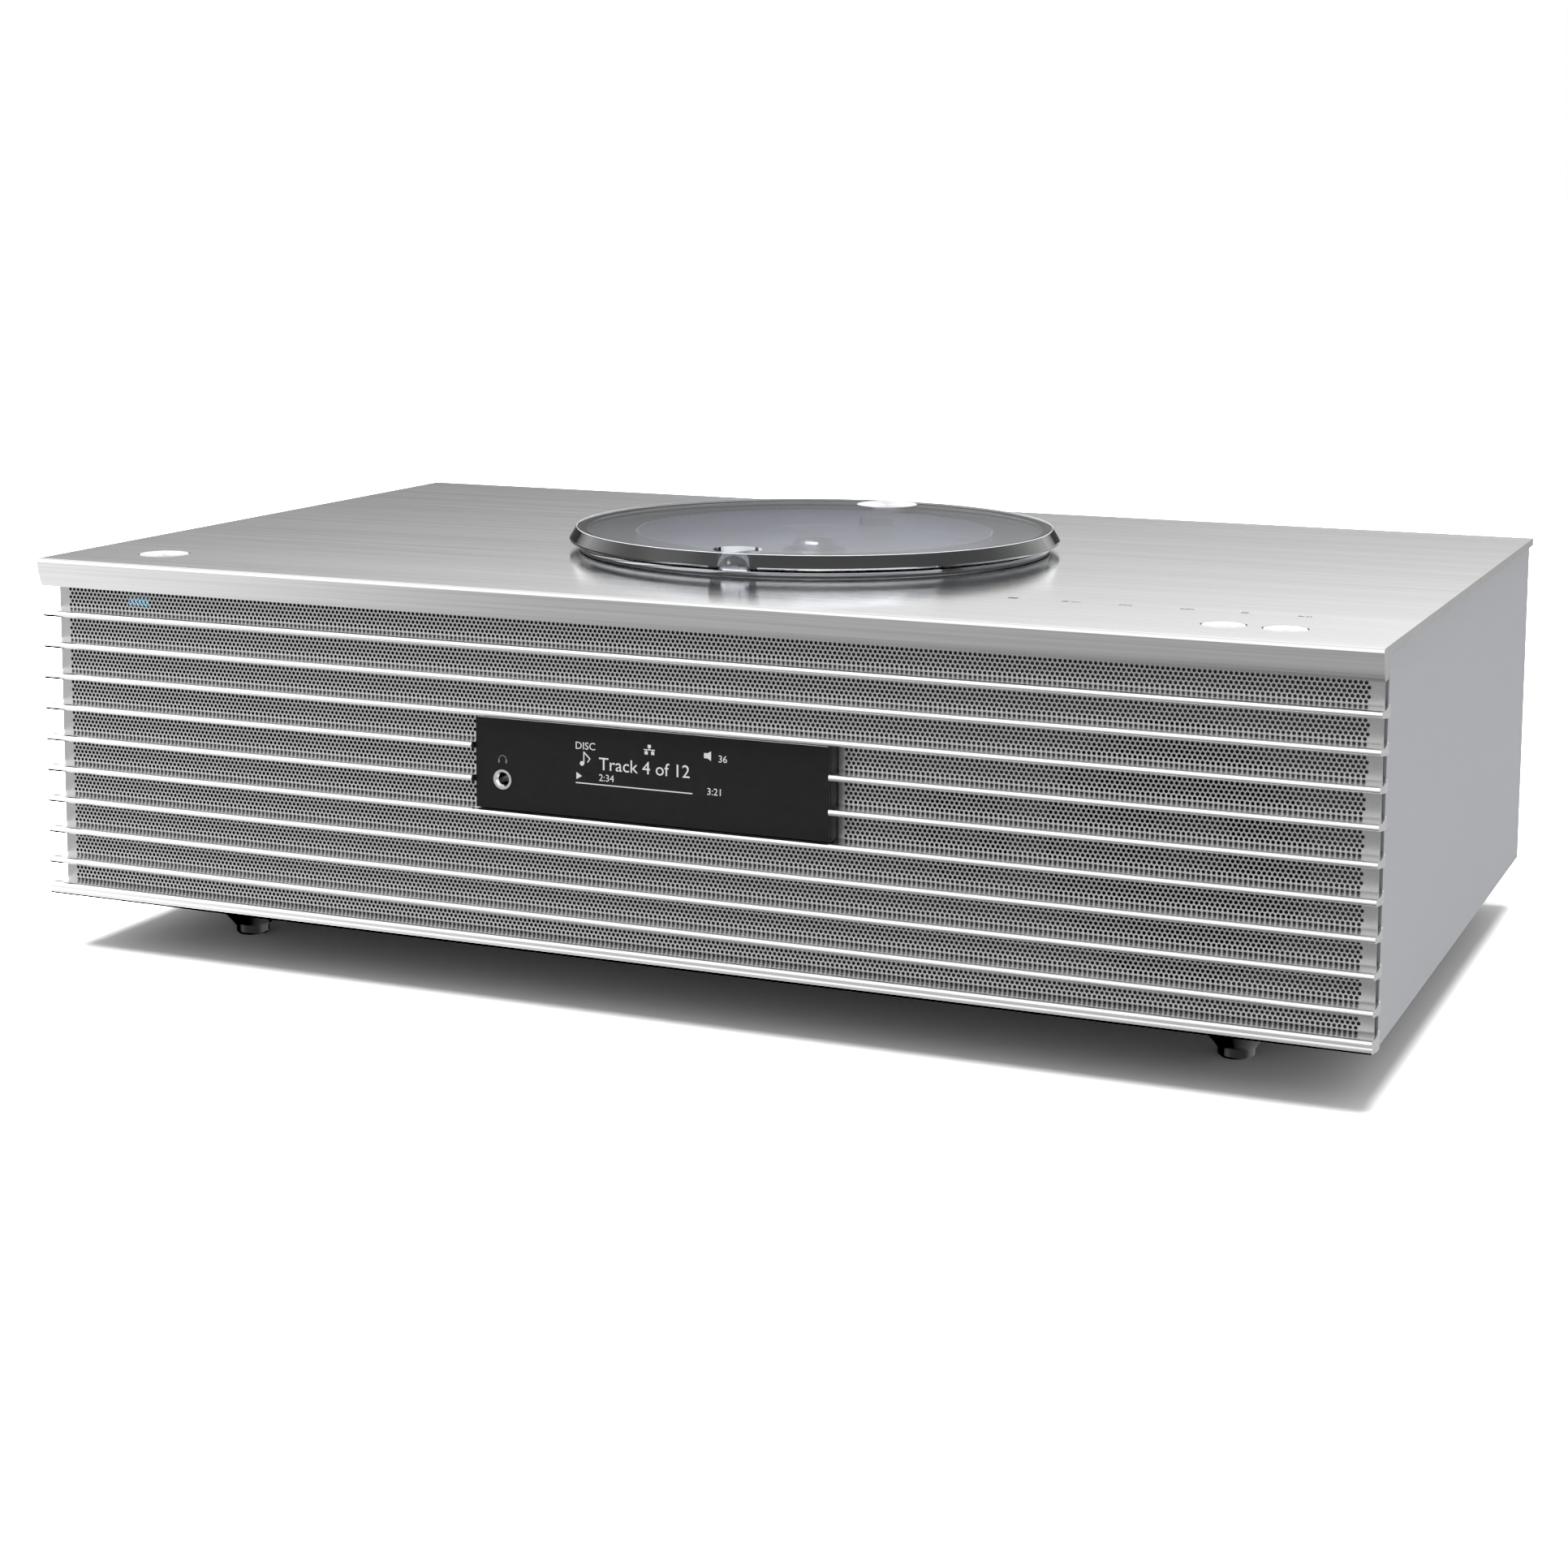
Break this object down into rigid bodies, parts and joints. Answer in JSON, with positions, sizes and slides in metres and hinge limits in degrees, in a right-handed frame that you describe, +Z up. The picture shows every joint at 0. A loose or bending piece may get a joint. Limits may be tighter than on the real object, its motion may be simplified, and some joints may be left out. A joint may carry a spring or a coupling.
{
  "type": "mini hifi system",
  "caption": "Low, wide tabletop music system with a finned grille front, a round swing lid over a disc well, a dark display and push buttons.",
  "frame": {"origin": "on the table, at the middle of the object's box", "axes": "+X to the right seen from the front, +Y to the rear, +Z up"},
  "size_m": [0.45, 0.28, 0.143],
  "materials": {
    "brushed_aluminium": "hairline brushed along the width, clear anodised",
    "satin_panel": "fine satin silver paint",
    "grille_sheet": "perforated sheet, satin silver",
    "black_sheet": "black powder coat",
    "black_plastic": "fine moulded texture",
    "black_glass": "polished black front",
    "plated_metal": "bright plating",
    "blue_light_guide": "lit light guide",
    "spun_metal": "spun face with circular turning marks",
    "circuit_board": "solder resist over glass laminate",
    "smoked_acrylic": "clear smoke-grey acrylic, polished",
    "black_rubber": "matt",
    "turned_metal": "turned",
    "well_metal": "satin, slightly lavender metallic",
    "zinc_plate": "zinc plated",
    "gear_plastic": "unfilled acetal",
    "brass": "turned",
    "speaker_cone": "dark pressed cone and steel magnet",
    "anodised_sink": "black anodised extrusion",
    "foot_black": "smooth moulded cone with a rubber tip"
  },
  "bodies": {
    "case": {"top_plate": "brushed_aluminium", "left_side_panel": "satin_panel", "right_side_panel": "satin_panel", "bottom_panel": "black_sheet", "rear_panel": "black_sheet", "front_baffle": "black_plastic", "front_grille": "grille_sheet", "fin_1": "brushed_aluminium", "fin_2": "brushed_aluminium", "fin_3": "brushed_aluminium", "fin_4": "brushed_aluminium", "fin_5": "brushed_aluminium", "fin_6": "brushed_aluminium", "fin_7": "brushed_aluminium", "fin_8": "brushed_aluminium", "fin_9": "brushed_aluminium", "fin_10": "brushed_aluminium", "display_housing": "black_plastic", "display_glass": "black_glass", "headphone_jack": "plated_metal", "status_led": "blue_light_guide", "touch_sensor_board": "circuit_board", "volume_switch_board": "circuit_board", "power_switch_board": "circuit_board", "lid_pivot_post": "turned_metal", "disc_well": "well_metal", "spindle_motor": "zinc_plate", "mechanism_chassis": "zinc_plate", "damper_bushes": "black_rubber", "guide_rods": "turned_metal", "sled_motor": "zinc_plate", "left_woofer": "speaker_cone", "right_woofer": "speaker_cone", "tweeters": "speaker_cone", "left_speaker_chamber": "black_plastic", "right_speaker_chamber": "black_plastic", "subwoofer": "speaker_cone", "bass_port": "black_plastic", "main_board": "circuit_board", "heat_sink": "anodised_sink", "power_supply": "circuit_board", "mains_inlet": "black_plastic", "network_socket": "zinc_plate", "input_sockets": "zinc_plate", "antenna_connector": "brass", "socket_plate": "black_sheet", "front_left_foot": "foot_black", "front_right_foot": "foot_black", "rear_left_foot": "foot_black", "rear_right_foot": "foot_black"},
    "lid_body": {"lid": "smoked_acrylic", "lid_base_ring": "black_rubber", "lid_pivot_cap": "spun_metal"},
    "power_key": {"power_button": "spun_metal"},
    "volume_down_key": {"volume_down_button": "spun_metal"},
    "volume_up_key": {"volume_up_button": "spun_metal"},
    "turntable": {"spindle_hub": "turned_metal"},
    "pickup": {"pickup_sled": "black_plastic"},
    "reduction_gear": {"sled_gear": "gear_plastic"},
    "motor_pinion": {"sled_pinion": "brass"}
  },
  "joints": [
    {"name": "lid_swing", "type": "hinge", "parent": "case", "child": "lid_body", "pos_m": [0.001, 0.0675, 0.139], "axis": [0, 0, 1], "range_deg": [0, 105]},
    {"name": "power_press", "type": "slide", "parent": "case", "child": "power_key", "axis": [0, 0, -1], "range_m": [0, 0.0006], "stiffness_N_per_m": 900},
    {"name": "volume_down_press", "type": "slide", "parent": "case", "child": "volume_down_key", "axis": [0, 0, -1], "range_m": [0, 0.0006], "stiffness_N_per_m": 900},
    {"name": "volume_up_press", "type": "slide", "parent": "case", "child": "volume_up_key", "axis": [0, 0, -1], "range_m": [0, 0.0006], "stiffness_N_per_m": 900},
    {"name": "disc_spin", "type": "hinge", "parent": "case", "child": "turntable", "pos_m": [0.001, -0.0035, 0.118], "axis": [0, 0, 1], "continuous": true},
    {"name": "pickup_slide", "type": "slide", "parent": "case", "child": "pickup", "axis": [0, -1, 0], "range_m": [0, 0.0325]},
    {"name": "reduction_gear_spin", "type": "hinge", "parent": "case", "child": "reduction_gear", "pos_m": [0.0326, -0.0435, 0.112], "axis": [0, 0, 1], "range_deg": [0, 334]},
    {"name": "motor_pinion_spin", "type": "hinge", "parent": "case", "child": "motor_pinion", "pos_m": [0.0326, -0.0585, 0.11], "axis": [0, 0, 1], "range_deg": [-1334, 0]}
  ],
  "couplings": [
    {"joint": "reduction_gear_spin", "follows": "pickup_slide", "rad_per_m": 178.57},
    {"joint": "motor_pinion_spin", "follows": "pickup_slide", "rad_per_m": -714.29}
  ]
}
